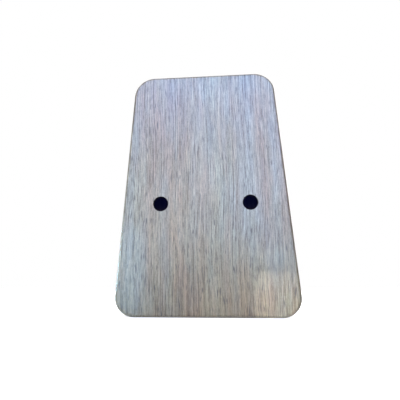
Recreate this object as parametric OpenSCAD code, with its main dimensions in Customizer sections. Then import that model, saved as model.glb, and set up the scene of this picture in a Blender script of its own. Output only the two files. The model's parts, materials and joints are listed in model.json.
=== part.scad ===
// Seventeen-key kalimba with a hollow, tapered wooden body and spring steel tines.
// It stands on its wide end: X runs across the body, Y from the back to the tines, Z up the body.
// Left and right are the player's, who faces the tines, so left is +X.
// Lengths are in millimetres and angles in degrees.

/* [Body] */

// Length of the body, wide end to narrow end
body_length = 185; // [180:1:200]
// Width across the wide end, to the corners before they are rounded
wide_end = 135; // [130:1:145]
// Width across the narrow end, to the corners before they are rounded
narrow_end = 108; // [108:1:118]
// Depth of the box, back face to soundboard face
body_depth = 32; // [28:1:40]
// Thickness of the back plate and of the soundboard
plate_thickness = 3; // [2.5:0.5:4]
// Radius of the two corners at the wide end
wide_corner = 14; // [10:1:16]
// Radius of the two corners at the narrow end
narrow_corner = 16; // [10:1:16]
// Radius of the rounded outer edge of both plates
edge_round = 2; // [1:0.5:2]
// Wall thickness of the left and right sides
side_wall = 7; // [5:0.5:8]
// Length of the solid wooden block at each end
end_block = 18; // [17:1:18]

/* [Holes] */

// Diameter of the sound hole in the soundboard
sound_hole = 32; // [24:1:36]
// Height of the middle of the sound hole above the wide end
sound_hole_height = 66; // [60:1:72]
// Diameter of the two vibrato holes in the back plate
vibrato_hole = 11; // [8:0.5:14]
// Spacing of the vibrato holes
vibrato_spacing = 66.6; // [56:0.2:76]
// Height of the vibrato holes above the wide end
vibrato_height = 82; // [70:1:95]

/* [Bridge] */

// Distance of the front saddle rod from the narrow end
saddle_distance = 44; // [42:1:46]
// Rise of the front saddle rod's centre line above the soundboard
saddle_rise = 8; // [7:0.5:10]
// Spacing of the front and rear saddle rods
saddle_spacing = 24; // [22:1:26]
// Diameter of the saddle rods
saddle_rod = 4; // [3:0.5:4.5]
// Diameter of the pressure bar
bar_diameter = 5; // [5:0.5:6]
// Depth of the brace inside the box
brace_depth = 8; // [6:1:10]

/* [Tines] */

// Number of tines
tine_count = 17; // [9:2:17]
// Pitch of the longest tine in hertz
lowest_pitch = 261.63; // [246.94, 261.63, 277.18, 293.66]
// Thickness of the steel strip
tine_thickness = 1.2; // [1.1:0.05:1.3]
// Width of the strip under the pressure bar
tine_width = 3.3; // [3:0.1:3.3]
// Width of the strip at the playing tip
tip_width = 4.6; // [3.8:0.1:5]
// Spacing of the tines, centre to centre
tine_pitch = 6.1; // [6.1:0.02:6.2]
// Slope of the tines away from the soundboard
tine_slope = 3.5; // [2:0.5:4.5]
// Length of the tail behind the rear saddle rod
tine_tail = 9; // [6:1:10]
// Length of the upturned playing tip
tip_length = 7; // [4:1:8]
// Upward bend of the playing tip
tip_bend = 12; // [4:1:15]

/* [Screws] */

// Diameter of the clamp screws
screw_diameter = 2.5; // [2:0.1:2.5]
// Diameter of the screw heads
head_diameter = 5; // [4.5:0.1:5]
// Height of the screw heads
head_height = 1.8; // [1.6:0.1:2.2]

/* [Hidden] */

$fn = 64;

// Running clearance between a tine and the rods that hold it
seat = 0.05;

// Clearance at the seam where a tine's blade bends from its shank
seam = 0.04;

// Speed of sound along a steel strip in millimetres per second
steel_speed = 5048000;

// First bending mode of a strip clamped at one end
first_mode = 0.1615;

// Share of the free length from the saddle to the line that a tine bends about
bend_share = 0.15;

// Half steps above the lowest note for each note of a major scale
major_scale = [0, 2, 4, 5, 7, 9, 11];

// Note letters of the scale, from its lowest note
letters = ["c", "d", "e", "f", "g", "a", "b"];

// Pieces of the case, then the two halves of every tine
CASE = [
    "back_plate",
    "soundboard",
    "left_side",
    "right_side",
    "head_block",
    "tail_block",
    "bridge_brace",
    "bridge_block",
    "front_saddle_rod",
    "rear_saddle_rod",
    "pressure_bar",
    "clamp_screws",
];

// Lean of the sides and the faces of the box
lean = atan((wide_end - narrow_end) / 2 / body_length);
face = body_depth / 2;
inner_face = face - plate_thickness;

// Half width of the body at a height, before the corners are rounded
function half_width(z) = (wide_end - (wide_end - narrow_end) * z / body_length) / 2;

// Half width at a height, measured a distance in from the side
function inset_width(z, distance) = half_width(z) - distance / cos(lean);

// Corner circles on the left of the outline: across, up, radius
wide_arc = [inset_width(wide_corner, wide_corner), wide_corner, wide_corner];
narrow_arc = [
    inset_width(body_length - narrow_corner, narrow_corner),
    body_length - narrow_corner,
    narrow_corner,
];

// Point where a corner circle meets the straight side
function tangent_point(arc) = [arc.x + arc.z * cos(lean), arc.y + arc.z * sin(lean)];

// Outline with its corners cut off, left half then right half
left_points = [
    [wide_arc.x, 0],
    tangent_point(wide_arc),
    tangent_point(narrow_arc),
    [narrow_arc.x, body_length],
];
right_points = [for (i = [3:-1:0]) [-left_points[i].x, left_points[i].y]];

// Front saddle rod, the origin of the tine frame: depth, height
saddle = [face + saddle_rise, body_length - saddle_distance];

// Point of the tine frame as depth and height: u towards the tip, v away from the soundboard
function placed(u, v) = saddle + [
    u * sin(tine_slope) + v * cos(tine_slope),
    v * sin(tine_slope) - u * cos(tine_slope),
];

// Heights of the tines above the centre line of the saddle rods
underside = saddle_rod / 2 + seat;
middle = underside + tine_thickness / 2;
topside = underside + tine_thickness;

// Centre lines of the rear saddle rod and of the pressure bar: depth, height
rear_saddle = placed(-saddle_spacing, 0);
bar = placed(-saddle_spacing / 2, topside + seat + bar_diameter / 2);

// Bridge lengths, set by the row of tines
row_length = (tine_count - 1) * tine_pitch + tine_width;
rod_length = row_length + 2;
bridge_length = row_length + 3;

// Screws stand in gaps between tines, and their heads in flats on the bar
side_tines = (tine_count - 1) / 2;
inner_gap = round(side_tines / 3) - 0.5;
outer_gap = side_tines - 1.5;
screw_places = [for (g = [-outer_gap, -inner_gap, inner_gap, outer_gap]) g * tine_pitch];
flat_depth = 0.5;
head_seat = bar.x + bar_diameter / 2 - flat_depth;
screw_tip = inner_face - brace_depth + 1;
screw_hole = screw_diameter + 0.2;

// Note of a tine, counted up the scale from the middle of the row
function note(s) = str(letters[s % 7], 4 + floor(s / 7));
function shank_name(s) = str("tine_", note(s), "_shank");
function blade_name(s) = str("tine_", note(s), "_blade");

// Pitch of a tine in hertz, and the free length of strip that sounds it
function half_steps(s) = 12 * floor(s / 7) + major_scale[s % 7];
function pitch(s) = lowest_pitch * pow(2, half_steps(s) / 12);
function free_length(s) = sqrt(first_mode * tine_thickness * steel_speed / pitch(s));

// Place of a tine across the body: the scale alternates from left to right, lowest in the middle
function tine_place(s) = (s % 2 == 1 ? 1 : -1) * ceil(s / 2) * tine_pitch;

// Line that a tine bends about, as a distance from the front saddle rod
function bend_line(s) = bend_share * free_length(s);

// Body outline with true corner arcs
module outline() {
    polygon(concat(left_points, right_points));
    for (arc = [wide_arc, narrow_arc], side = [-1, 1])
        translate([side * arc.x, arc.y]) circle(arc.z);
}

// Layer of the body between two depths, from an outline drawn across and up
module layer(back, front) {
    translate([0, front, 0])
        rotate([90, 0, 0])
            linear_extrude(front - back) children();
}

// Bar along X of a section drawn as depth and height
module across(length) {
    rotate([90, 0, 90])
        linear_extrude(length, center = true) children();
}

// Round rod along X with chamfered ends, at a depth and height
module rod(diameter, place) {
    r = diameter / 2;
    h = rod_length / 2;
    c = 0.4;
    translate([0, place.x, place.y])
        rotate([0, 90, 0])
            rotate_extrude()
                polygon([[0, -h], [r - c, -h], [r, c - h], [r, h - c], [r - c, h], [0, h]]);
}

// Round hole through the depth of the body, at a place across and up
module bore(diameter, place, back, front) {
    translate([place.x, front, place.y])
        rotate([90, 0, 0])
            cylinder(d = diameter, h = front - back);
}

// Edge of a plate at a corner: square where it is glued, rounded outside
module edge_section(radius) {
    rim = radius - edge_round;
    step = plate_thickness - edge_round;
    intersection() {
        square([radius, plate_thickness]);
        union() {
            square([rim, plate_thickness]);
            square([radius, step]);
            translate([rim, step]) circle(edge_round, $fn = 24);
        }
    }
}

// Plate with its glued face on the ground and its rounded face up
module rounded_plate() {
    hull()
        for (arc = [wide_arc, narrow_arc], side = [-1, 1])
            translate([side * arc.x, arc.y, 0])
                rotate_extrude($fn = 48) edge_section(arc.z);
}

// Back of the box, with the two vibrato holes that the fingertips cover
module back_plate() {
    color([0.78, 0.75, 0.71])
        difference() {
            translate([0, -inner_face, 0]) rotate([90, 0, 0]) rounded_plate();
            for (side = [-1, 1])
                bore(vibrato_hole, [side * vibrato_spacing / 2, vibrato_height], -face - 1, 1 - inner_face);
        }
}

// Front of the box, with the round sound hole and holes for the clamp screws
module soundboard() {
    color([0.80, 0.76, 0.70])
        difference() {
            translate([0, inner_face, 0]) rotate([90, 0, 180]) rounded_plate();
            bore(sound_hole, [0, sound_hole_height], inner_face - 1, face + 1);
            for (x = screw_places) bore(screw_hole, [x, bar.y], inner_face - 1, face + 1);
        }
}

// Side of the box between the end blocks, on the left or mirrored on the right
module side_rail(side) {
    low = end_block;
    high = body_length - end_block;
    layer(-inner_face, inner_face)
        polygon([
            [side * half_width(low), low],
            [side * half_width(high), high],
            [side * inset_width(high, side_wall), high],
            [side * inset_width(low, side_wall), low],
        ]);
}

module left_side() {
    color([0.74, 0.69, 0.62]) side_rail(1);
}

module right_side() {
    color([0.74, 0.69, 0.62]) side_rail(-1);
}

// Solid end of the box from one height up, with the outline's rounded corners
module end_piece(low) {
    layer(-inner_face, inner_face)
        intersection() {
            outline();
            translate([-wide_end / 2, low]) square([wide_end, end_block]);
        }
}

module head_block() {
    color([0.72, 0.67, 0.60]) end_piece(body_length - end_block);
}

module tail_block() {
    color([0.72, 0.67, 0.60]) end_piece(0);
}

// Hardwood brace glued under the soundboard, which takes the clamp screws
module bridge_brace() {
    top = body_length - end_block - 0.5;
    low = 2 * bar.y - top;
    inside = inner_face - brace_depth;
    length = 2 * inset_width(top, side_wall + 1.5);
    color([0.52, 0.38, 0.26])
        difference() {
            across(length)
                polygon([
                    [inner_face, low],
                    [inner_face, top],
                    [inside + 2, top],
                    [inside, top - 4],
                    [inside, low + 4],
                    [inside + 2, low],
                ]);
            for (x = screw_places) bore(screw_diameter, [x, bar.y], screw_tip, face);
        }
}

// Hardwood bridge: two ridges grooved for the saddle rods, with a valley under the pressure bar
module bridge_block() {
    valley = face + saddle_rise * 0.35;
    foot = face + 2;
    front_ridge = saddle.x - saddle_rod / 5;
    rear_ridge = rear_saddle.x - saddle_rod / 5;
    end_slope = 1.5;
    color([0.40, 0.26, 0.17])
        difference() {
            intersection() {
                across(bridge_length)
                    polygon([
                        [face, saddle.y - 9],
                        [foot, saddle.y - 9],
                        [front_ridge, saddle.y - 3.5],
                        [front_ridge, saddle.y + 3],
                        [valley, saddle.y + 6.5],
                        [valley, rear_saddle.y - 6.5],
                        [rear_ridge, rear_saddle.y - 3],
                        [rear_ridge, rear_saddle.y + 3.5],
                        [foot, rear_saddle.y + 7],
                        [face, rear_saddle.y + 7],
                    ]);
                linear_extrude(body_length)
                    polygon([
                        [-bridge_length / 2, face],
                        [bridge_length / 2, face],
                        [bridge_length / 2, foot],
                        [bridge_length / 2 - end_slope, saddle.x],
                        [end_slope - bridge_length / 2, saddle.x],
                        [-bridge_length / 2, foot],
                    ]);
            }
            for (place = [saddle, rear_saddle])
                translate([0, place.x, place.y])
                    rotate([0, 90, 0]) cylinder(d = saddle_rod, h = 2 * bridge_length, center = true);
            for (x = screw_places) bore(screw_hole, [x, bar.y], face - 1, saddle.x);
        }
}

// Steel rod in the front groove, the edge that the tines sound from
module front_saddle_rod() {
    color([0.80, 0.80, 0.82]) rod(saddle_rod, saddle);
}

// Steel rod in the rear groove, under the tails of the tines
module rear_saddle_rod() {
    color([0.80, 0.80, 0.82]) rod(saddle_rod, rear_saddle);
}

// Steel bar across the tops of the tines, drilled and spot-faced for the clamp screws
module pressure_bar() {
    color([0.74, 0.74, 0.77])
        difference() {
            rod(bar_diameter, bar);
            for (x = screw_places) {
                bore(screw_hole, [x, bar.y], bar.x - bar_diameter, bar.x + bar_diameter);
                bore(head_diameter + 0.4, [x, bar.y], head_seat, bar.x + bar_diameter);
            }
        }
}

// Four socket screws that pull the pressure bar down through the bridge into the brace
module clamp_screws() {
    r = screw_diameter / 2;
    head = head_diameter / 2;
    crown = 0.5;
    color([0.66, 0.66, 0.69])
        for (x = screw_places)
            difference() {
                translate([x, head_seat, bar.y])
                    rotate([-90, 0, 0])
                        rotate_extrude()
                            polygon([
                                [0, screw_tip - head_seat],
                                [r / 4, screw_tip - head_seat],
                                [r, screw_tip - head_seat + 2],
                                [r, 0],
                                [head, 0],
                                [head, head_height - crown],
                                [head - crown, head_height],
                                [0, head_height],
                            ]);
                translate([x, head_seat + head_height + 1, bar.y])
                    rotate([90, 0, 0]) cylinder(d = 2.3, h = 2.1, $fn = 6);
            }
}

// Places children drawn in the tine frame: u towards the tip, v away from the soundboard
module tine_frame(s) {
    translate([tine_place(s), saddle.x, saddle.y])
        rotate([90, 0, 90])
            rotate(tine_slope - 90) children();
}

// Round seam across a tine, centred on the line that it bends about
module seam_round(s, clearance) {
    translate([bend_line(s), middle, 0])
        cylinder(r = 0.625 * tine_thickness + clearance, h = 2 * tine_width, center = true);
}

// Tail of a tine, held between the saddle rods and the pressure bar
module tine_shank(s) {
    tail = -saddle_spacing - tine_tail;
    color([0.70, 0.71, 0.73])
        tine_frame(s)
            difference() {
                linear_extrude(tine_width, center = true)
                    polygon([
                        [tail, underside + 0.3],
                        [tail + 0.5, underside],
                        [bend_line(s), underside],
                        [bend_line(s), topside],
                        [tail + 0.5, topside],
                        [tail, topside - 0.3],
                    ]);
                seam_round(s, seam);
            }
}

// Side of a tine's blade from the bending line to its upturned, thinned tip
module blade_section(s) {
    bend = free_length(s) - tip_length;
    tip = [bend, underside] + tip_length * [cos(tip_bend), sin(tip_bend)];
    thin = 0.75 * tine_thickness;
    polygon([
        [bend_line(s), underside],
        [bend, underside],
        tip,
        tip + thin * [-sin(tip_bend), cos(tip_bend)],
        [bend - tine_thickness * tan(tip_bend / 2), topside],
        [bend_line(s), topside],
    ]);
}

// Outline of a tine's blade from above, widening to a round tip
module blade_plan(s) {
    end = free_length(s) - tip_length * (1 - cos(tip_bend)) - 0.2;
    flare = 0.4 * free_length(s);
    tip = end - tip_width / 2;
    translate([tip, 0]) circle(tip_width / 2);
    polygon([
        [0, -tine_width / 2],
        [flare, -tine_width / 2],
        [tip, -tip_width / 2],
        [tip, tip_width / 2],
        [flare, tine_width / 2],
        [0, tine_width / 2],
    ]);
}

// Free end of a tine that the thumbnail plucks
module tine_blade(s) {
    rear = bend_line(s) - tine_thickness;
    color([0.76, 0.77, 0.79])
        tine_frame(s) {
            intersection() {
                linear_extrude(tip_width, center = true) blade_section(s);
                rotate([-90, 0, 0]) linear_extrude(20) blade_plan(s);
            }
            intersection() {
                translate([rear, underside, -tine_width / 2])
                    cube([tine_thickness, tine_thickness, tine_width]);
                seam_round(s, 0);
            }
        }
}

back_plate();
soundboard();
left_side();
right_side();
head_block();
tail_block();
bridge_brace();
bridge_block();
front_saddle_rod();
rear_saddle_rod();
pressure_bar();
clamp_screws();
for (s = [0:tine_count - 1]) {
    tine_shank(s);
    tine_blade(s);
}
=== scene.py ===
# %% [markdown]
# # A kalimba, dressed for the camera
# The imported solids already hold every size, body and joint of this seventeen-note kalimba.
# They are loaded first, as one fixed frame in metres, so each piece made below goes where its
# solid is and nothing has to be fitted by eye.

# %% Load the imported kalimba
import itertools
import json
import math
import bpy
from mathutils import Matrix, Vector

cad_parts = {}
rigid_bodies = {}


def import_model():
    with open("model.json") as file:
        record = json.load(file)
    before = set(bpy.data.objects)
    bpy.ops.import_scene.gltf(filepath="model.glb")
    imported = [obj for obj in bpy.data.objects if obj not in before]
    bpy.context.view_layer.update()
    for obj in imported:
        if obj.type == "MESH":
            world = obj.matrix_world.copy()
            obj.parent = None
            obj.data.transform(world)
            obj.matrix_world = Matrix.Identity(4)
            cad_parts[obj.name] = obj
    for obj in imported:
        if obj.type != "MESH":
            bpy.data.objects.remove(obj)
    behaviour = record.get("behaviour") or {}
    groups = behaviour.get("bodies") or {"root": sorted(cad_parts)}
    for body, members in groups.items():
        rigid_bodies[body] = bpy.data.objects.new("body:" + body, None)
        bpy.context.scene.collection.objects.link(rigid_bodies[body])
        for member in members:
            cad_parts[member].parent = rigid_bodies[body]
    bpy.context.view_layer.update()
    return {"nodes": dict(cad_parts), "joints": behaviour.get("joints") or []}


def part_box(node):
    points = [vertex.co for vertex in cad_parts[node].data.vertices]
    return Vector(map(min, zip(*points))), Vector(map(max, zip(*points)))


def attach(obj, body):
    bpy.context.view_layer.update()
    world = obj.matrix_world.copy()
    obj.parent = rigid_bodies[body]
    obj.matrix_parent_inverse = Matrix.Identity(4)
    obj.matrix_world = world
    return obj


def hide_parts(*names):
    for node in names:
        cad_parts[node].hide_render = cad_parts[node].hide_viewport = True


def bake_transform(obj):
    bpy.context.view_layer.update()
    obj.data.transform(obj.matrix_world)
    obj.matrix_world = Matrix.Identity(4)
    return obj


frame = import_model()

from types import SimpleNamespace

import bmesh
import bpy
from mathutils import Quaternion, Vector

MM = 0.001
scene = bpy.context.scene

# %% [markdown]
# ## The camera
# The kalimba stands on its wide end and the camera looks at its back from just above the ground,
# so the sides lean together more than they really do. A camera like this can be set by eye, but
# here its place comes from fitting the outline of the plate and the middles of its two holes,
# which also gives the focal length.

# %% Camera
FRAME_PIXELS = 400
FOCAL_PIXELS = 430
CAMERA_PLACE = Vector((12.82, -329.81, 21.92)) * MM
CAMERA_AIM = Vector((-18.73, -16.0, 92.31)) * MM
CAMERA_ROLL = math.radians(0.056)
LENS_SHIFT = (20 / FRAME_PIXELS, -10 / FRAME_PIXELS)  # the photograph is cut from a larger one

lens = bpy.data.cameras.new("portrait_camera")
lens.sensor_width = 36.0
lens.lens = lens.sensor_width * FOCAL_PIXELS / FRAME_PIXELS
lens.shift_x, lens.shift_y = LENS_SHIFT
lens.clip_start = 10 * MM
camera = bpy.data.objects.new("portrait_camera", lens)
scene.collection.objects.link(camera)
camera.location = CAMERA_PLACE
camera.rotation_mode = "QUATERNION"
sight = (CAMERA_AIM - CAMERA_PLACE).to_track_quat("-Z", "Y")
camera.rotation_quaternion = sight @ Quaternion((0, 0, 1), -CAMERA_ROLL)
scene.camera = camera
print("lens:", round(lens.lens, 2), "mm")

# %% [markdown]
# ## Colours and nodes
# Colours are written as sRGB hex values, as a paint chart gives them, while shaders work in
# linear light, so one function turns them over. A second small function adds a shader node, sets
# its settings and values, and links what it is given to its inputs. Every finish below is built
# with these two.

# %% Colours and nodes
def linear(colour):
    """An sRGB hex colour as the linear red, green, blue and alpha of a shader socket."""
    channels = [int(colour[i:i + 2], 16) / 255 for i in (1, 3, 5)]
    return (*[c / 12.92 if c <= 0.04045 else ((c + 0.055) / 1.055) ** 2.4 for c in channels], 1.0)


def add(tree, kind, inputs, **settings):
    """A new node: settings are its properties, inputs a value, node or socket for each input."""
    made = tree.nodes.new(kind)
    for key, value in settings.items():
        setattr(made, key, value)
    offered = [socket for socket in made.inputs if socket.enabled]
    for key, value in inputs.items():
        socket = offered[key] if isinstance(key, int) else next(s for s in offered if s.name == key)
        if isinstance(value, bpy.types.Node):
            value = next(s for s in value.outputs if s.enabled)
        if isinstance(value, bpy.types.NodeSocket):
            tree.links.new(value, socket)
        else:
            socket.default_value = value
    return made


def finish(name):
    """A new material with an empty node tree, named for what the real surface is."""
    material = bpy.data.materials.new(name)
    material.use_nodes = True
    material.node_tree.nodes.clear()
    return material, material.node_tree


print("white paper in linear light:", [round(c, 3) for c in linear("#F4F2EE")])

# %% [markdown]
# ## Floor
# The stage is a plain white sweep of paper. A floor that really shone as bright as it looks here
# would wash out the lower half of the plate, so the light that it throws back is set apart from
# what the camera and the polished steel see of it.

# %% Floor
scene.view_settings.view_transform = "Standard"
FLOOR_REACH = 4.0
FLOOR_GLOW = 0.75

floor_white, tree = finish("matt_white_paper_sweep")
path = add(tree, "ShaderNodeLightPath", {})
looked_at = add(tree, "ShaderNodeMath", {
    0: path.outputs["Is Camera Ray"], 1: path.outputs["Is Glossy Ray"]}, operation="MAXIMUM")
paper = add(tree, "ShaderNodeMix", {
    "Factor": looked_at, "A": linear("#97928A"), "B": linear("#E8E8E8")}, data_type="RGBA")
glow = add(tree, "ShaderNodeMath", {
    0: path.outputs["Is Camera Ray"], 1: FLOOR_GLOW}, operation="MULTIPLY")
matt = add(tree, "ShaderNodeBsdfDiffuse", {"Color": paper})
shine = add(tree, "ShaderNodeEmission", {"Strength": glow})
sweep = add(tree, "ShaderNodeAddShader", {0: matt, 1: shine})
add(tree, "ShaderNodeOutputMaterial", {"Surface": sweep})

floor_mesh = bpy.data.meshes.new("paper_sweep")
floor_corners = [(x * FLOOR_REACH, y * FLOOR_REACH, 0) for x, y in ((-1, -1), (1, -1), (1, 1), (-1, 1))]
floor_mesh.from_pydata(floor_corners, [], [(0, 1, 2, 3)])
floor_mesh.materials.append(floor_white)
floor = bpy.data.objects.new("paper_sweep", floor_mesh)
scene.collection.objects.link(floor)
print("floor:", 2 * FLOOR_REACH, "m square")

# %% [markdown]
# ## Room
# The lacquer and the steel mirror the room around them. Behind the camera it is pale on the left,
# where the windows are, and dimmer and browner on the right, which is why the two long edges of
# the plate look so different. Beyond the kalimba it grows brighter upward. A picture of a real
# room would do, but a blend of four colours by direction is all that satin lacquer shows. The
# camera itself sees plain white.

# %% Room
room = bpy.data.worlds.new("pale_room")
room.use_nodes = True
tree = room.node_tree
tree.nodes.clear()
towards = add(tree, "ShaderNodeTexCoord", {})
way = add(tree, "ShaderNodeSeparateXYZ", {"Vector": towards.outputs["Generated"]})
rightward = add(tree, "ShaderNodeMapRange", {
    "Value": way.outputs["X"], "From Min": -0.9, "From Max": 0.9})
forward = add(tree, "ShaderNodeMapRange", {
    "Value": way.outputs["Y"], "From Min": 0.0, "From Max": 0.5})
upward = add(tree, "ShaderNodeMapRange", {
    "Value": way.outputs["Z"], "From Min": 0.0, "From Max": 0.9})
behind = add(tree, "ShaderNodeMix", {
    "Factor": rightward, "A": linear("#9A9A98"), "B": linear("#57504A")}, data_type="RGBA")
ahead = add(tree, "ShaderNodeMix", {
    "Factor": upward, "A": linear("#A9A8A6"), "B": linear("#F4F4F4")}, data_type="RGBA")
walls = add(tree, "ShaderNodeMix", {"Factor": forward, "A": behind, "B": ahead}, data_type="RGBA")
seen = add(tree, "ShaderNodeLightPath", {}).outputs["Is Camera Ray"]
shown = add(tree, "ShaderNodeMix", {
    "Factor": seen, "A": walls, "B": linear("#FFFFFF")}, data_type="RGBA")
air = add(tree, "ShaderNodeBackground", {"Color": shown})
add(tree, "ShaderNodeOutputWorld", {"Surface": air})
scene.world = room
print("room:", room.name, "with", len(tree.nodes), "nodes")

# %% [markdown]
# ## Windows
# The upper half of the plate has a cool sheen that fades downward: its satin lacquer mirrors the
# sky in a wide, high window. A lamp far behind the camera stands for the rest of the room, and a
# second window lights the left. Each is an area light, because a window is a bright rectangle
# too. Places and sizes are in millimetres here, and powers in milliwatts.

# %% Windows
MILLIWATT = 0.001
BACK = -16  # where the face of the back lies along Y, in mm
BODY_MIDDLE = (0, 0, 90)


def softbox(name, place, aim, size, power, colour, spread=180):
    """A soft rectangular light that faces a point, with the spread of its beam in degrees."""
    light = bpy.data.lights.new(name, "AREA")
    light.shape = "RECTANGLE"
    light.size, light.size_y = [side * MM for side in size]
    light.energy = power * MILLIWATT
    light.color = linear(colour)[:3]
    light.spread = math.radians(spread)
    lamp = bpy.data.objects.new(name, light)
    lamp.visible_camera = False
    start, stop = [Vector([x * MM for x in point]) for point in (place, aim)]
    lamp.location = start
    lamp.rotation_mode = "QUATERNION"
    lamp.rotation_quaternion = (stop - start).to_track_quat("-Z", "Y")
    scene.collection.objects.link(lamp)
    return lamp


sky = softbox("sky_light", (0, -220, 270), (0, BACK, 170), (400, 100), 540, "#A9BEFF")
softbox("room_lamp", (0, -1200, 300), BODY_MIDDLE, (800, 400), 4650, "#E6F1FF")
softbox("left_window", (-550, -150, 100), (-66, -14, 50), (300, 300), 1300, "#EAF8FF")
print("sky light:", [round(x, 2) for x in sky.location], "m")

# %% [markdown]
# ## Narrow beams
# Daylight in a lived-in room is patchy. Small lights with a narrow spread, like soft boxes with a
# grid, do the same here: cool light at the lower left, down the right side, along the top and over
# the lower right corner, a pale line on the left edge, a warm glow off the ground at the foot, and
# a patch of low sun on the lower right corner. Painting them on the wood would be quicker, but
# then they would stay on it in any other light.

# %% Narrow beams
softbox("cool_left", (-66, -100, 35), (-65, BACK, 35), (18, 70), 1.9, "#80C8FF", 34)
edge_window = softbox("edge_window", (-160, -12, 30), (-66, -15.5, 30), (6, 80), 1.4, "#A8E0FF", 6)
softbox("sky_top", (5, -80, 205), (5, BACK, 181), (80, 8), 0.54, "#00B0FF", 40)
softbox("cool_right", (60, -150, 95), (60, BACK, 95), (30, 100), 1.6, "#7698FF", 40)
softbox("cool_corner", (54, -100, 40), (54, BACK, 40), (16, 16), 0.12, "#C8ECFF", 22)
softbox("low_sun", (-4, -84, 20), (51, BACK, 12.5), (26, 38), 0.92, "#FFFFFF", 6)
softbox("warm_base", (15, -160, 8), (15, BACK, 0), (70, 12), 0.26, "#FFA050", 32)

# %% [markdown]
# ## Light in the box and on the tines
# A little cool light is let into the box, so its holes are navy rather than dead black. Two more
# soft boxes light the right side and the tines, for anyone who walks round the kalimba. Steel
# needs something large and pale to mirror, so the one over the tines is wider than a door.

# %% Light in the box and on the tines
softbox("light_in_box", (0, -12, 90), (0, 16, 90), (90, 100), 12, "#1846FF")
softbox("right_fill", (900, 800, 500), BODY_MIDDLE, (800, 800), 7000, "#F6F8FF")
softbox("tine_light", (350, 1100, 950), BODY_MIDDLE, (2200, 1500), 18000, "#FFF4E8")

# %% [markdown]
# ## Streaks along the grain
# Wood is a bundle of long fibres, so every pattern in it is drawn out along the grain. A scan of
# real veneer would show that too, but stretched noise needs no picture and runs through the whole
# board, so edges and end grain agree with the faces. A streak is given by its width and length in
# millimetres and a place in the noise, so that no two patterns fall together.

# %% Streaks along the grain
ALONG_X, ALONG_Z = 0, 2  # which way the grain runs


def streaks(tree, grain, streak, detail, place=None):
    """Noise drawn out along the grain to streaks of a width and length; 0.5 on average."""
    across, along, shift = streak
    cells = [1 / (across * MM)] * 3
    cells[grain] = 1 / (along * MM)
    if place is None:
        place = add(tree, "ShaderNodeTexCoord", {}).outputs["Object"]
    stretched = add(tree, "ShaderNodeMapping", {
        "Vector": place, "Scale": cells, "Location": (shift,) * 3})
    return add(tree, "ShaderNodeTexNoise", {"Vector": stretched, "Scale": 1.0, "Detail": detail})


print("streaks half a millimetre wide, to a metre:", round(1 / (0.5 * MM)))

# %% [markdown]
# ## Fibres of mahogany
# Planed mahogany shows fine straight lines of many lengths, with small specks where a fibre ends.
# One noise looks too even, so three lengths of line are mixed. No board is quite straight in the
# grain, so all of them sway together by a millimetre or two.

# %% Fibres of mahogany
SWAY = 6 * MM
SWAY_WAVES = (30, 90, 6.7)
SHORT_LINES, MIDDLING_LINES, LONG_LINES = (0.5, 5, 0.0), (0.5, 16, 1.7), (0.6, 140, 2.3)
SPECKS = (0.6, 1.2, 9.4)
SPECK_SHARE = 0.15


def swaying(tree, grain, place):
    """A place in the wood, moved aside in long waves."""
    waves = streaks(tree, grain, SWAY_WAVES, 0.0).outputs["Color"]
    return add(tree, "ShaderNodeVectorMath", {0: waves, 1: (SWAY,) * 3, 2: place},
               operation="MULTIPLY_ADD")


def fibre_lines(tree, grain, swayed):
    """Fine lines of three lengths with a few specks; 0.5 on average."""
    short = streaks(tree, grain, SHORT_LINES, 0.0, swayed)
    middling = streaks(tree, grain, MIDDLING_LINES, 0.0, swayed)
    long = streaks(tree, grain, LONG_LINES, 0.0, swayed)
    dashes = add(tree, "ShaderNodeMix", {"Factor": 0.5, "A": short, "B": middling})
    lines = add(tree, "ShaderNodeMix", {"Factor": 0.5, "A": dashes, "B": long})
    specks = streaks(tree, grain, SPECKS, 0.0)
    return add(tree, "ShaderNodeMix", {"Factor": SPECK_SHARE, "A": lines, "B": specks})


print("lines in mm:", SHORT_LINES[:2], MIDDLING_LINES[:2], LONG_LINES[:2], "specks:", SPECKS[:2])

# %% [markdown]
# ## Bands of tint
# Bleach takes unevenly, so it leaves broad, faint bands along the grain, some rosier and some
# cooler than the rest. Each size of band comes once in each tint, and every one multiplies the
# wood by a colour that is nearly white, so together they never change it much.

# %% Bands of tint
BAND_SIZES = ((20, 120), (14, 160), (9, 70), (6, 30))  # width and length in mm
ROSY, COOL = ("#FFFFFF", "#FEF6F4"), ("#FEFEF7", "#FBFFFF")  # between the bands, and in them
BAND_SEED, BAND_STEP = 193.14, 7.03  # the first band's place in the noise, and the way to the next


def banded(tree, wood, grain, swayed):
    """The wood with its bands of tint."""
    for number, (size, tints) in enumerate(itertools.product(BAND_SIZES, (ROSY, COOL))):
        noise = streaks(tree, grain, (*size, BAND_SEED + BAND_STEP * number), 1.0, swayed)
        band = add(tree, "ShaderNodeMapRange", {"Value": noise, "From Min": 0.45, "From Max": 0.65})
        tint = add(tree, "ShaderNodeMix", {
            "Factor": band, "A": linear(tints[0]), "B": linear(tints[1])}, data_type="RGBA")
        wood = add(tree, "ShaderNodeMix", {"Factor": 1.0, "A": wood, "B": tint},
                   data_type="RGBA", blend_type="MULTIPLY")
    return wood


print("bands:", 2 * len(BAND_SIZES), "widest:", BAND_SIZES[0][0], "mm")

# %% [markdown]
# ## Painted shade on the edges, painted light at the foot
# The rounded edges are painted darker than the face, as painted shade where the edge turns from
# the lamps. The edge that the kalimba stands on is painted paler instead, as painted light that
# lifts the shade where it meets the floor. Curvature could find the edges, but the plates are built
# ring by ring below, so each point can simply carry how far round it lies.

# %% Painted shade on the edges, painted light at the foot
EDGE_MARK = "rounded_edge"  # 0 on the face of a plate, 1 where its edge is fully rounded over
FOOT_LOW, FOOT_HIGH = 2 * MM, 8 * MM


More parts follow.
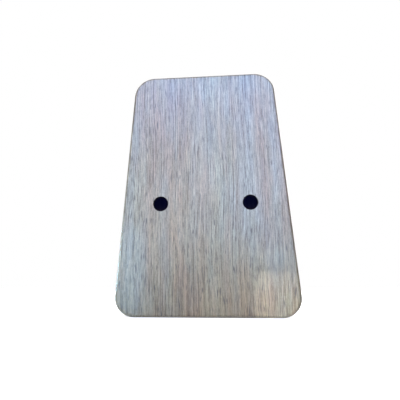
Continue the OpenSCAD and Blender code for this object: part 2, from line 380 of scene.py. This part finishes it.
def edge_shade_and_foot_light(tree, wood, up):
    """The wood with painted shade on its rounded edges, and painted light on the edge at the foot."""
    edge = add(tree, "ShaderNodeAttribute", {}, attribute_name=EDGE_MARK).outputs["Fac"]
    rounded_over = add(tree, "ShaderNodeMapRange", {"Value": edge, "From Min": 0.0, "From Max": 0.2})
    above_foot = add(tree, "ShaderNodeMapRange", {
        "Value": up, "From Min": FOOT_LOW, "From Max": FOOT_HIGH})
    # Painted shade: the rounded edges above the foot are multiplied darker.
    painted_edge_shade = add(tree, "ShaderNodeMath", {0: rounded_over, 1: above_foot}, operation="MULTIPLY")
    wood = add(tree, "ShaderNodeMix", {"Factor": painted_edge_shade, "A": wood, "B": linear("#B5A797")},
               data_type="RGBA", blend_type="MULTIPLY")
    started = add(tree, "ShaderNodeMapRange", {"Value": edge, "From Min": 0.02, "From Max": 0.3})
    at_foot = add(tree, "ShaderNodeMapRange", {
        "Value": up, "From Min": FOOT_HIGH, "From Max": FOOT_LOW})
    # Painted light: the rounded edge at the foot is screened paler, lifting the shade where it meets the
    # floor.
    painted_foot_light = add(tree, "ShaderNodeMath", {0: started, 1: at_foot}, operation="MULTIPLY")
    return add(tree, "ShaderNodeMix", {"Factor": painted_foot_light, "A": wood, "B": linear("#A89F92")},
               data_type="RGBA", blend_type="SCREEN")


# The foot edge is painted paler up to this height, as painted light.
print("edge rubbed pale up to:", FOOT_LOW / MM, "mm, gone by:", FOOT_HIGH / MM, "mm")

# %% [markdown]
# ## Mahogany, bleached and satin-lacquered
# The plates are thin quarter-sawn mahogany, bleached to a silvery beige, sanded and sprayed with
# satin lacquer. To the eye that gives the lines and bands made above and short dark pores like
# dashes, under a soft sheen; painted shade darkens the edges and the wide end, and painted light
# lifts the foot. The lacquer is the coat of the shader, smoother than the wood below it. The rim
# is the same wood, a little darker, with its grain upright or lying.

# %% Mahogany, bleached and satin-lacquered
PORES = (0.55, 7, 5.3)  # real pores are a tenth of this wide, too fine for the picture
LOW_SHADE_TOP = 90 * MM
DEEP_PORES, SHALLOW_PORES = 40 * MM, 110 * MM
LACQUER_ROUGHNESS = 0.32
WOOD_IOR = 1.5


def mahogany(name, grain, light, dark, pore, sheen):
    """Lacquered mahogany with its grain along an axis, from its light and dark fibres and pores."""
    material, tree = finish(name)
    place = add(tree, "ShaderNodeTexCoord", {}).outputs["Object"]
    up = add(tree, "ShaderNodeSeparateXYZ", {"Vector": place}).outputs["Z"]
    swayed = swaying(tree, grain, place)
    fibres = fibre_lines(tree, grain, swayed)
    shade = add(tree, "ShaderNodeMapRange", {"Value": fibres, "From Min": 0.345, "From Max": 0.655})
    wood = add(tree, "ShaderNodeMix", {
        "Factor": shade, "A": linear(dark), "B": linear(light)}, data_type="RGBA")
    wood = banded(tree, wood, grain, swayed)
    # Towards its wide end the board is painted darker and warmer, as painted shade, and its pores are
    # deeper.
    painted_low_shade = add(tree, "ShaderNodeMapRange", {"Value": up, "From Min": LOW_SHADE_TOP, "From Max": 0.0})
    wood = add(tree, "ShaderNodeMix", {"Factor": painted_low_shade, "A": wood, "B": linear("#E6DDCB")},
               data_type="RGBA", blend_type="MULTIPLY")
    depth = add(tree, "ShaderNodeMapRange", {
        "Value": up, "From Min": SHALLOW_PORES, "From Max": DEEP_PORES, "To Min": 0.7, "To Max": 1.0})
    pores = add(tree, "ShaderNodeMapRange", {
        "Value": streaks(tree, grain, PORES, 0.0, swayed),
        "From Min": 0.62, "From Max": 0.78, "To Max": depth})
    wood = add(tree, "ShaderNodeMix", {
        "Factor": pores, "A": wood, "B": linear(pore)}, data_type="RGBA")
    wood = edge_shade_and_foot_light(tree, wood, up)
    satin = add(tree, "ShaderNodeMapRange", {
        "Value": fibres, "From Min": 0.3, "From Max": 0.7, "To Min": sheen, "To Max": sheen + 0.1})
    relief = add(tree, "ShaderNodeMath", {0: fibres, 1: pores}, operation="SUBTRACT")
    bump = add(tree, "ShaderNodeBump", {"Height": relief, "Strength": 0.5, "Distance": 0.03 * MM})
    shader = add(tree, "ShaderNodeBsdfPrincipled", {
        "Base Color": wood, "Roughness": satin, "Normal": bump, "IOR": WOOD_IOR,
        "Coat Weight": 0.9, "Coat Roughness": LACQUER_ROUGHNESS, "Coat IOR": WOOD_IOR})
    add(tree, "ShaderNodeOutputMaterial", {"Surface": shader})
    return material


RIM_SHADES = ("#D4D1CF", "#807972", "#5B5550")
plate_wood = mahogany("bleached_mahogany_satin_lacquer", ALONG_Z, "#DFDEDD", "#87817C", "#5E5956", 0.42)
side_wood = mahogany("bleached_mahogany_rim_upright", ALONG_Z, *RIM_SHADES, 0.44)
end_wood = mahogany("bleached_mahogany_rim_lying", ALONG_X, *RIM_SHADES, 0.44)
print("woods:", plate_wood.name, side_wood.name, end_wood.name)

# %% [markdown]
# ## Scorched hole walls
# The round holes are burnt through the plates by a laser, which leaves their walls black with
# soot. Flat black would look like a gap in the model, so the soot is thinner in places and lets
# a little brown through, and it is dull all over.

# %% Scorched hole walls
scorched, tree = finish("laser_scorched_mahogany")
soot = streaks(tree, ALONG_Z, (0.8, 3, 0.0), 2.0)
thin = add(tree, "ShaderNodeMapRange", {"Value": soot, "From Min": 0.4, "From Max": 0.7})
burnt = add(tree, "ShaderNodeMix", {
    "Factor": thin, "A": linear("#0E0B0A"), "B": linear("#2A1E18")}, data_type="RGBA")
dull = add(tree, "ShaderNodeMapRange", {
    "Value": soot, "From Min": 0.3, "From Max": 0.7, "To Min": 0.75, "To Max": 0.95})
shader = add(tree, "ShaderNodeBsdfPrincipled", {"Base Color": burnt, "Roughness": dull})
add(tree, "ShaderNodeOutputMaterial", {"Surface": shader})
print("hole walls:", scorched.name)

# %% [markdown]
# ## Painted shade inside the box
# The inside was never bleached or lacquered. It is painted dark brown, as painted shade, since
# little light gets into the box, so hardly any comes back out of the holes. It is seen only through
# them, so plain streaks of two browns are enough.

# %% Painted shade inside the box
painted_inside_shade, tree = finish("dark_painted_shade_inside_box")
fibres = streaks(tree, ALONG_Z, (1.2, 60, 0.0), 3.0)
shade = add(tree, "ShaderNodeMapRange", {"Value": fibres, "From Min": 0.3, "From Max": 0.7})
# Painted shade: dark browns stand in for the little light inside the box.
wood = add(tree, "ShaderNodeMix", {
    "Factor": shade, "A": linear("#4A3A2E"), "B": linear("#33271F")}, data_type="RGBA")
dull = add(tree, "ShaderNodeMapRange", {
    "Value": fibres, "From Min": 0.3, "From Max": 0.7, "To Min": 0.7, "To Max": 0.85})
shader = add(tree, "ShaderNodeBsdfPrincipled", {"Base Color": wood, "Roughness": dull})
add(tree, "ShaderNodeOutputMaterial", {"Surface": shader})
print("inside of the box:", painted_inside_shade.name)

# %% [markdown]
# ## Outline of the body
# Both plates and the rim share one outline: two straight sides that lean together, and four round
# corners. It could be drawn as a curve, but points worked out from the widths and radii can also
# be moved in by an exact distance, which is what the rounded edge of a plate needs.

# %% Outline of the body
BODY_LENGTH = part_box("back_plate")[1].z
WIDE_END, NARROW_END = 135 * MM, 108 * MM
WIDE_CORNER, NARROW_CORNER = 14 * MM, 16 * MM
CORNER_STEPS = 18
QUARTER = math.pi / 2
LEAN = math.atan((WIDE_END - NARROW_END) / 2 / BODY_LENGTH)


def corner(up, radius):
    """The circle of a rounded corner: across, up and radius."""
    half_width = (WIDE_END - (WIDE_END - NARROW_END) * up / BODY_LENGTH) / 2
    return half_width - radius / math.cos(LEAN), up, radius


def outline(inset):
    """Points round the body, as across and up, moved in from the edge."""
    half = []
    for circle, first, last in (
            (corner(WIDE_CORNER, WIDE_CORNER), -QUARTER, LEAN),
            (corner(BODY_LENGTH - NARROW_CORNER, NARROW_CORNER), LEAN, QUARTER)):
        across, up, radius = circle
        reach = radius - inset
        for step in range(CORNER_STEPS + 1):
            angle = first + (last - first) * step / CORNER_STEPS
            half.append((across + reach * math.cos(angle), up + reach * math.sin(angle)))
    return half + [(-x, z) for x, z in reversed(half)]


print("lean of the sides:", round(math.degrees(LEAN), 2), "degrees,", len(outline(0)), "points")

# %% [markdown]
# ## Meshes
# Every new piece is built from rings of points joined by strips of quads, the way a lofted hull
# is planked. One function joins two rings and another turns the finished mesh into an object,
# smooth but with crisp creases.

# %% Meshes
CREASE = math.radians(40)


def skin(bm, first, second, finish_index=0):
    """A strip of quads between two closed rings with the same number of points."""
    for i in range(len(first)):
        j = (i + 1) % len(first)
        bm.faces.new((first[i], first[j], second[j], second[i])).material_index = finish_index


def loop_edges(bm, ring):
    """The edges round a closed ring."""
    return [bm.edges.get((ring[i - 1], ring[i])) for i in range(len(ring))]


def as_piece(bm, name, body, finishes):
    """An object made from the mesh, with its finishes, that moves with a body of the kalimba."""
    bmesh.ops.recalc_face_normals(bm, faces=bm.faces)
    mesh = bpy.data.meshes.new(name)
    bm.to_mesh(mesh)
    bm.free()
    for material in finishes:
        mesh.materials.append(material)
    mesh.shade_smooth()
    mesh.set_sharp_from_angle(angle=CREASE)
    piece = bpy.data.objects.new(name, mesh)
    scene.collection.objects.link(piece)
    weighted = piece.modifiers.new("flat_faces_stay_flat", "WEIGHTED_NORMAL")
    weighted.keep_sharp = True
    if body:
        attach(piece, body)
    return piece


print("quads in one strip round the body:", len(outline(0)))

# %% [markdown]
# ## Edge and holes of a plate
# Each plate is 3 mm thick, with an outer edge rounded over by 2 mm and round holes whose rims are
# eased by sanding. A boolean cut would leave hard rims, so the edge and the walls of the holes
# are rings too: some round the outline, some round each hole.

# %% Edge and holes of a plate
EDGE_ROUND, EDGE_STEPS = 2 * MM, 7
GLUE_EASE = 0.12 * MM
HOLE_EASE, HOLE_EASE_STEPS = 0.2 * MM, 3
HOLE_STEPS = 72


def edge_layers(face, glued):
    """Inset and depth of the rings round a plate, from its glued side over the edge to its face."""
    out = math.copysign(1, face - glued)
    layers = [(GLUE_EASE, glued), (0, glued + out * GLUE_EASE)]
    for step in range(EDGE_STEPS + 1):
        turn = QUARTER * step / EDGE_STEPS
        inset = EDGE_ROUND * (1 - math.cos(turn))
        layers.append((inset, face - out * EDGE_ROUND * (1 - math.sin(turn))))
    return layers


def hole_rings(bm, hole, face, glued):
    """Rings of points through a plate, from the eased rim of a hole to the glued side."""
    across, up, radius = hole
    out = math.copysign(1, face - glued)
    walls = []
    for step in range(HOLE_EASE_STEPS + 1):
        turn = QUARTER * step / HOLE_EASE_STEPS
        size = radius + HOLE_EASE * (1 - math.sin(turn))
        walls.append((size, face - out * HOLE_EASE * (1 - math.cos(turn))))
    walls.append((radius, glued))
    turns = [2 * math.pi * i / HOLE_STEPS for i in range(HOLE_STEPS)]
    return [[bm.verts.new((across + size * math.cos(a), depth, up + size * math.sin(a))) for a in turns]
            for size, depth in walls]


print("rounded edge:", [round(inset / MM, 2) for inset, _ in edge_layers(0, 3 * MM)], "mm in")

# %% [markdown]
# ## Back plate and soundboard
# The back has two small holes, which the player's fingers cover and open for a wavering tone, and
# the soundboard has one large hole. Between the rings the flat faces are filled with triangles,
# which stay flat, so it doesn't matter how they lie.

# %% Back plate and soundboard
# The glued side of a plate takes the dark painted shade of the inside of the box.
LACQUERED, SCORCHED, INSIDE_SHADE = 0, 1, 2


def plate(name, node, face, glued, holes):
    """A plate of the box from its glued side to its face, with holes as across, up and radius."""
    bm = bmesh.new()
    mark = bm.verts.layers.float.new(EDGE_MARK)
    rings = []
    for inset, y in edge_layers(face, glued):
        ring = [bm.verts.new((x, y, z)) for x, z in outline(inset)]
        for point in ring:
            point[mark] = min(1, max(0, abs(face - y) / EDGE_ROUND))
        rings.append(ring)
    for first, second in zip(rings, rings[1:]):
        skin(bm, first, second, LACQUERED)
    face_edges, glued_edges = loop_edges(bm, rings[-1]), loop_edges(bm, rings[0])
    for hole in holes:
        walls = hole_rings(bm, hole, face, glued)
        for first, second in zip(walls, walls[1:]):
            skin(bm, first, second, SCORCHED)
        face_edges += loop_edges(bm, walls[0])
        glued_edges += loop_edges(bm, walls[-1])
    for edges, finish_index in ((face_edges, LACQUERED), (glued_edges, INSIDE_SHADE)):
        filled = bmesh.ops.triangle_fill(
            bm, edges=edges, use_beauty=True, use_dissolve=False,
            normal=(0, math.copysign(1, face - glued), 0))
        for part in filled["geom"]:
            if isinstance(part, bmesh.types.BMFace):
                part.material_index = finish_index
    piece = as_piece(bm, name, "case", (plate_wood, scorched, painted_inside_shade))
    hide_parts(node)
    print(name, "faces:", len(piece.data.polygons))
    return piece


VIBRATO_RADIUS, VIBRATO_ACROSS, VIBRATO_UP = 5.5 * MM, 33.3 * MM, 82 * MM
SOUND_RADIUS, SOUND_UP = 16 * MM, 66 * MM

back_low, back_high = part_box("back_plate")
back_plate = plate("back_plate_rounded", "back_plate", back_low.y, back_high.y,
                   [(side * VIBRATO_ACROSS, VIBRATO_UP, VIBRATO_RADIUS) for side in (-1, 1)])
board_low, board_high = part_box("soundboard")
plate("soundboard_rounded", "soundboard", board_high.y, board_low.y, [(0, SOUND_UP, SOUND_RADIUS)])

# %% [markdown]
# ## Two lights kept to the back
# The sky light and the edge window stand close to the back, so they would also turn the top of
# the rim pale blue and draw a bright streak down its side, which a real sky and window don't. A
# studio keeps light off with black cards, but those would show in the picture. Light linking does
# the same unseen: the two lamps fall only on what is in a collection. The paper is in it too,
# because it throws some of their light back up.

# %% Two lights kept to the back
lit_from_close = bpy.data.collections.new("lit_from_close")
for lit in (floor, back_plate):
    lit_from_close.objects.link(lit)
for lamp in (sky, edge_window):
    lamp.light_linking.receiver_collection = lit_from_close

# %% [markdown]
# ## Rim
# The rim is four solid lengths of the same wood: two sides with upright grain and two end blocks
# with grain across. Their solids have the right shape, so they stay, and only their sharp edges
# are eased a little, which shows the hairline of glue between rim and plates.

# %% Rim
RIM_EASE = 0.12 * MM
SAME_POINT = 0.001 * MM

for node, wood in (("left_side", side_wood), ("right_side", side_wood),
                   ("head_block", end_wood), ("tail_block", end_wood)):
    rim = frame["nodes"][node]
    rim.data.materials.clear()
    rim.data.materials.append(wood)
    rim.modifiers.new("one_skin", "WELD").merge_threshold = SAME_POINT
    eased = rim.modifiers.new("eased_edges", "BEVEL")
    eased.width = RIM_EASE
    eased.segments = 2
    eased.limit_method = "ANGLE"
    eased.angle_limit = math.radians(30)
    rim.modifiers.new("flat_faces_stay_flat", "WEIGHTED_NORMAL")
    print(node, "finished with", wood.name)

# %% [markdown]
# ## Rosewood
# The bridge has to resist the saddle rods, so it is dense rosewood, planed and oiled. To the eye
# that is deep brown with nearly black veins, small open pores and a low sheen. Oil leaves no film,
# so there is no coat as on the mahogany.

# %% Rosewood
rosewood, tree = finish("oiled_rosewood")
figure = streaks(tree, ALONG_X, (3.2, 70, 0.0), 3.0)
shade = add(tree, "ShaderNodeMapRange", {"Value": figure, "From Min": 0.35, "From Max": 0.65})
wood = add(tree, "ShaderNodeMix", {
    "Factor": shade, "A": linear("#5B3323"), "B": linear("#3D2117")}, data_type="RGBA")
veins = add(tree, "ShaderNodeMapRange", {
    "Value": streaks(tree, ALONG_X, (1.1, 60, 2.9), 2.0), "From Min": 0.52, "From Max": 0.66})
wood = add(tree, "ShaderNodeMix", {
    "Factor": veins, "A": wood, "B": linear("#24130D")}, data_type="RGBA")
pores = add(tree, "ShaderNodeMapRange", {
    "Value": streaks(tree, ALONG_X, (0.35, 5, 6.1), 1.0), "From Min": 0.62, "From Max": 0.76})
wood = add(tree, "ShaderNodeMix", {
    "Factor": pores, "A": wood, "B": linear("#150B08")}, data_type="RGBA")
oiled = add(tree, "ShaderNodeMapRange", {
    "Value": figure, "From Min": 0.3, "From Max": 0.7, "To Min": 0.38, "To Max": 0.52})
relief = add(tree, "ShaderNodeMath", {0: figure, 1: pores}, operation="SUBTRACT")
bump = add(tree, "ShaderNodeBump", {"Height": relief, "Strength": 0.5, "Distance": 0.05 * MM})
shader = add(tree, "ShaderNodeBsdfPrincipled", {
    "Base Color": wood, "Roughness": oiled, "Normal": bump, "IOR": WOOD_IOR})
add(tree, "ShaderNodeOutputMaterial", {"Surface": shader})
print("bridge wood:", rosewood.name)

# %% [markdown]
# ## Beech for the brace
# The brace inside the box, which takes the screws, is plain planed beech, left bare: pale brown
# with the small dark flecks that tell beech from other woods, and hardly any sheen. Its solid has
# the right shape, so it only gets the finish.

# %% Beech for the brace
beech, tree = finish("planed_bare_beech")
figure = streaks(tree, ALONG_X, (4, 90, 0.0), 2.0)
wood = add(tree, "ShaderNodeMix", {
    "Factor": figure, "A": linear("#B98F66"), "B": linear("#A67C55")}, data_type="RGBA")
flecks = add(tree, "ShaderNodeMapRange", {
    "Value": streaks(tree, ALONG_X, (0.5, 3, 0.0), 1.0), "From Min": 0.6, "From Max": 0.75})
wood = add(tree, "ShaderNodeMix", {
    "Factor": flecks, "A": wood, "B": linear("#7E5A3C")}, data_type="RGBA")
planed = add(tree, "ShaderNodeMapRange", {
    "Value": figure, "From Min": 0.3, "From Max": 0.7, "To Min": 0.62, "To Max": 0.76})
shader = add(tree, "ShaderNodeBsdfPrincipled", {"Base Color": wood, "Roughness": planed})
add(tree, "ShaderNodeOutputMaterial", {"Surface": shader})
frame["nodes"]["bridge_brace"].data.materials.clear()
frame["nodes"]["bridge_brace"].data.materials.append(beech)
print("brace finished with", beech.name)

# %% [markdown]
# ## Section of the bridge
# Cut across, the bridge shows two ridges, a groove in each for a steel rod, and a valley between
# them. The grooves are arcs of the rods' own radius, so the rods lie in them. All corners but the
# two on the soundboard are rounded by an arc too, as a scraper leaves them. A bevel would round
# them all alike, so the arcs are worked out corner by corner.

# %% Section of the bridge
bridge_low, bridge_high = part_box("bridge_block")
rod_low, rod_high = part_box("front_saddle_rod")
rear_low, rear_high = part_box("rear_saddle_rod")
ROD_RADIUS = (rod_high.z - rod_low.z) / 2
saddle = Vector((0, (rod_low.y + rod_high.y) / 2, (rod_low.z + rod_high.z) / 2))
rear_saddle = Vector((0, (rear_low.y + rear_high.y) / 2, (rear_low.z + rear_high.z) / 2))

FACE = board_high.y
FOOT, VALLEY = FACE + 2 * MM, FACE + 2.8 * MM
RIDGE_DROP = 0.8 * MM
RIDGE_OUT, RIDGE_IN, VALLEY_IN = 3.5 * MM, 3 * MM, 6.5 * MM  # from the middle of a rod


def groove(middle, ridge, steps=8):
    """The arc that a rod lies in, as depth and height, from below the rod to above it."""
    spread = math.acos((middle.y - ridge) / ROD_RADIUS)
    turns = [spread * (2 * i / steps - 1) for i in range(steps + 1)]
    return [(middle.y - ROD_RADIUS * math.cos(t), middle.z + ROD_RADIUS * math.sin(t)) for t in turns]


def rounded(before, point, after, radius, steps=5):
    """A corner of a section replaced by an arc."""
    before, point, after = Vector(before), Vector(point), Vector(after)
    one, two = (before - point).normalized(), (after - point).normalized()
    half = one.angle(two) / 2
    setback = radius / math.tan(half)
    centre = point + (one + two).normalized() * radius / math.sin(half)
    start, stop = point + one * setback - centre, point + two * setback - centre
    return [tuple(centre + radius * start.slerp(stop, i / steps).normalized()) for i in range(steps + 1)]


front_ridge, rear_ridge = saddle.y - RIDGE_DROP, rear_saddle.y - RIDGE_DROP
corners = [  # depth and height, and a radius in mm, from the lower end of the section up
    (FACE, bridge_low.z, 0), (FOOT, bridge_low.z, 0.8),
    (front_ridge, saddle.z - RIDGE_OUT, 1.0),
    "front groove",
    (front_ridge, saddle.z + RIDGE_IN, 0.9),
    (VALLEY, saddle.z + VALLEY_IN, 2.0), (VALLEY, rear_saddle.z - VALLEY_IN, 2.0),
    (rear_ridge, rear_saddle.z - RIDGE_IN, 0.9),
    "rear groove",
    (rear_ridge, rear_saddle.z + RIDGE_OUT, 1.0),
    (FOOT, bridge_high.z, 0.8), (FACE, bridge_high.z, 0),
]
points = [c for c in corners if not isinstance(c, str)]
section = []
for item in corners:
    if item == "front groove":
        section += groove(saddle, front_ridge)
    elif item == "rear groove":
        section += groove(rear_saddle, rear_ridge)
    elif item[2] == 0:
        section.append(item[:2])
    else:
        place = points.index(item)
        section += rounded(points[place - 1][:2], item[:2], points[place + 1][:2], item[2] * MM)
print("bridge section:", len(section), "points")

# %% [markdown]
# ## Bridge
# The bridge is one stick, so its section is swept straight across the body. The two ends slope in
# towards the ridges, and a bevel that is held to the edges round the ends eases them.

# %% Bridge
END_SLOPE = 1.5 * MM
END_EASE = 0.5 * MM

bm = bmesh.new()
ends = []
for side in (-1, 1):
    ring = []
    for y, z in section:
        slope = END_SLOPE * max(0, y - FOOT) / (saddle.y - FOOT)
        ring.append(bm.verts.new((side * (bridge_high.x - slope), y, z)))
    ends.append(ring)
skin(bm, ends[0], ends[1])
for ring in ends:
    bm.faces.new(ring)
weights = bm.edges.layers.float.new("bevel_weight_edge")
for ring in ends:
    for edge in loop_edges(bm, ring):
        edge[weights] = 1.0
bridge = as_piece(bm, "bridge_shaped", "case", (rosewood,))
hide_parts("bridge_block")
eased = bridge.modifiers.new("eased_ends", "BEVEL")
eased.width = END_EASE
eased.segments = 3
eased.limit_method = "WEIGHT"
bridge.modifiers.move(1, 0)
print("bridge:", round(2 * bridge_high.x / MM, 1), "mm long,", len(bridge.data.polygons), "faces")

# %% [markdown]
# ## Steel
# Three kinds of bright steel meet on the bridge. The rods and the bar are nickel-plated and
# polished, the screws zinc-plated, and the tines spring steel, ground along their length, which
# leaves fine scratches that stretch every highlight. Each is a metal shader whose roughness and
# bump carry those scratches, with faint clouds of duller metal, as handling leaves them.

# %% Steel
CLOUDS = (6, 14, 4.4)


def steel(name, grain, bright, dull, scratch, sheen, depth):
    """Bright steel with scratches of a width and length along an axis, and their depth in mm."""
    material, tree = finish(name)
    clouds = add(tree, "ShaderNodeMapRange", {
        "Value": streaks(tree, grain, CLOUDS, 2.0), "From Min": 0.4, "From Max": 0.65})
    metal = add(tree, "ShaderNodeMix", {
        "Factor": clouds, "A": linear(bright), "B": linear(dull)}, data_type="RGBA")
    scratches = streaks(tree, grain, (*scratch, 0.0), 2.0)
    gloss = add(tree, "ShaderNodeMapRange", {
        "Value": scratches, "From Min": 0.3, "From Max": 0.7,
        "To Min": sheen - 0.06, "To Max": sheen + 0.08})
    bump = add(tree, "ShaderNodeBump", {"Height": scratches, "Strength": 0.4, "Distance": depth * MM})
    shader = add(tree, "ShaderNodeBsdfPrincipled", {
        "Base Color": metal, "Roughness": gloss, "Normal": bump, "Metallic": 1.0})
    add(tree, "ShaderNodeOutputMaterial", {"Surface": shader})
    return material


# Grinding scratches are a few hundredths of a millimetre wide, so they are drawn coarser to show.
tine_steel = steel("ground_spring_steel", ALONG_Z, "#C9CACC", "#B4B5B8", (0.25, 12), 0.27, 0.0012)
rod_steel = steel("polished_nickel_plate", ALONG_X, "#D2CFC8", "#C2BEB6", (0.3, 8), 0.17, 0.002)
screw_steel = steel("bright_zinc_plate", ALONG_X, "#C4C8CE", "#AEB3BA", (0.4, 1.2), 0.3, 0.004)
for node, metal in (("front_saddle_rod", rod_steel), ("rear_saddle_rod", rod_steel),
                    ("pressure_bar", rod_steel), ("clamp_screws", screw_steel)):
    frame["nodes"][node].data.materials.clear()
    frame["nodes"][node].data.materials.append(metal)
    print(node, "finished with", metal.name)

# %% [markdown]
# ## Measures of a tine
# A tine is one strip of spring steel. It lies on both saddle rods under the bar, widens towards
# the player and ends in a round tip that is bent up and thinned for the thumbnail. Its lengths
# differ from note to note, so they are measured on its solids, from the front rod along the strip.

# %% Measures of a tine
THICKNESS = 1.2 * MM
TIP_LENGTH, TIP_TRIM = 7 * MM, 0.2 * MM
TIP_BEND = math.radians(12)
FLARE_SHARE = 0.4  # of the free length, where the strip starts to widen
SEAT = 0.05 * MM  # room left between a rod and a strip, so that the strip can slide
UNDERSIDE = ROD_RADIUS + SEAT
slides = {j["child"]: Vector(j["axis"]) for j in frame["joints"] if j["type"] == "slide"}
hinges = [j for j in frame["joints"] if j["type"] == "hinge"]
ALONG = slides[hinges[0]["parent"]].normalized()
AWAY = Vector((0, -ALONG.z, ALONG.y))


def reach_along(node):
    """How far a solid goes along the tines, measured from the front saddle rod."""
    spans = [(v.co - saddle).dot(ALONG) for v in frame["nodes"][node].data.vertices]
    return min(spans), max(spans)


def measured(shank, blade):
    """The lengths, half widths and place across of one tine."""
    shank_low, shank_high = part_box(shank)
    blade_low, blade_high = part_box(blade)
    wide = (blade_high.x - blade_low.x) / 2
    end = reach_along(blade)[1]
    free = end + TIP_TRIM + TIP_LENGTH * (1 - math.cos(TIP_BEND))
    return SimpleNamespace(
        place=(shank_high.x + shank_low.x) / 2, narrow=(shank_high.x - shank_low.x) / 2, wide=wide,
        tail=reach_along(shank)[0], flare=FLARE_SHARE * free, bend=free - TIP_LENGTH,
        round_start=end - wide, end=end, free=free)


strips = [measured(hinge["parent"], hinge["child"]) for hinge in hinges]
longest = max(strips, key=lambda strip: strip.free)
print("longest tine:", round((longest.end - longest.tail) / MM, 1), "mm,",
      round(longest.free / MM, 1), "of it free")

# %% [markdown]
# ## Shape of a tine
# Rings of points with rounded corners run along the strip from tail to tip. They stand close
# together where the shape changes quickly: at the tail, in the upward bend and round the tip. A
# bevel modifier would round the corners as well, but it pinches at the thin round tip.

# %% Shape of a tine
STRIP_CORNER = 0.28 * MM
BEND_EASE = 1.5 * MM
TIP_THINNING = 0.75
END_EASING, END_THICKNESS = 0.3 * MM, 0.45  # over this length an end thins to this share


def stations(strip):
    """How far along a tine its rings stand: tail, shank, straight part, flare, bend and tip."""
    found = [strip.tail + ease * MM for ease in (0, 0.08, 0.25, 0.5)]
    found += [strip.tail + (0 - strip.tail) * i / 6 for i in range(1, 7)]
    found += [strip.flare * i / 12 for i in range(1, 13)]
    found += [strip.flare + (strip.bend - BEND_EASE - strip.flare) * i / 6 for i in range(1, 7)]
    found += [strip.bend + BEND_EASE * (i / 4 - 1) for i in range(1, 9)]
    found += [s for s in (strip.bend + 2.2 * MM, strip.bend + 3 * MM) if s < strip.round_start]
    tip_angles = (*range(0, 90, 9), 84, 87)  # degrees round the tip, closest at its very end
    found += [strip.round_start + strip.wide * math.sin(math.radians(a)) for a in tip_angles]
    return sorted(set(found))


def shape_at(strip, along):
    """Height of the middle of a tine, its half width and its thickness at a station."""
    widened = min(1, max(0, (along - strip.flare) / (strip.round_start - strip.flare)))
    half_width = strip.narrow + (strip.wide - strip.narrow) * widened
    if along > strip.round_start:
        half_width = math.sqrt(max(0, strip.wide ** 2 - (along - strip.round_start) ** 2))
    past = along - strip.bend
    if past < -BEND_EASE:
        rise = 0
    elif past < BEND_EASE:
        rise = math.tan(TIP_BEND) * (past + BEND_EASE) ** 2 / (4 * BEND_EASE)
    else:
        rise = math.tan(TIP_BEND) * past
    thickness = THICKNESS * (1 - (1 - TIP_THINNING) * min(1, max(0, past / TIP_LENGTH)))
    for gap in (along - strip.tail, strip.end - along):
        if gap < END_EASING:
            bulge = math.sqrt(max(0, 1 - (1 - gap / END_EASING) ** 2))
            thickness *= END_THICKNESS + (1 - END_THICKNESS) * bulge
    half_thick = THICKNESS / 2 if past < 0 else thickness / 2 / math.cos(TIP_BEND)
    return UNDERSIDE + rise + half_thick, half_width, thickness


def strip_ring(bm, place, along, lift, half_width, thickness):
    """A closed ring across a tine: its corners are small arcs."""
    # Towards the tip the arcs shrink with the strip, so that they never meet.
    radius = min(STRIP_CORNER, half_width * 0.9, thickness * 0.45)
    ring = []
    for side, level, start in ((1, 1, 0), (-1, 1, 90), (-1, -1, 180), (1, -1, 270)):
        for step in range(4):
            angle = math.radians(start + 30 * step)
            across = side * (half_width - radius) + radius * math.cos(angle)
            height = level * (thickness / 2 - radius) + radius * math.sin(angle)
            point = saddle + ALONG * along + AWAY * (lift + height)
            ring.append(bm.verts.new((place + across, point.y, point.z)))
    return ring


print("rings along the longest tine:", len(stations(longest)))

# %% [markdown]
# ## Tines
# The solids of a tine are cut in two at the line where it bends, but steel bends along its
# length, so each tine is drawn as one strip that follows its shank under the bar, its blade
# towards the tip, and curves between the two.


def tine(shank, blade, strip):
    """One strip from its tail to its upturned tip, bending between its shank and its blade."""
    bm = bmesh.new()
    rings = [strip_ring(bm, strip.place, along, *shape_at(strip, along)) for along in stations(strip)]
    for first, second in zip(rings, rings[1:]):
        skin(bm, first, second)
    bm.faces.new(rings[0])
    bm.faces.new(rings[-1])
    piece = as_piece(bm, shank.replace("_shank", "_strip"), None, (tine_steel,))
    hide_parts(shank, blade)
    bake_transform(piece)


for hinge, strip in zip(hinges, strips):
    tine(hinge["parent"], hinge["child"], strip)
print("tines:", len(strips), "free lengths in mm:", [round(strip.free / MM, 1) for strip in strips])
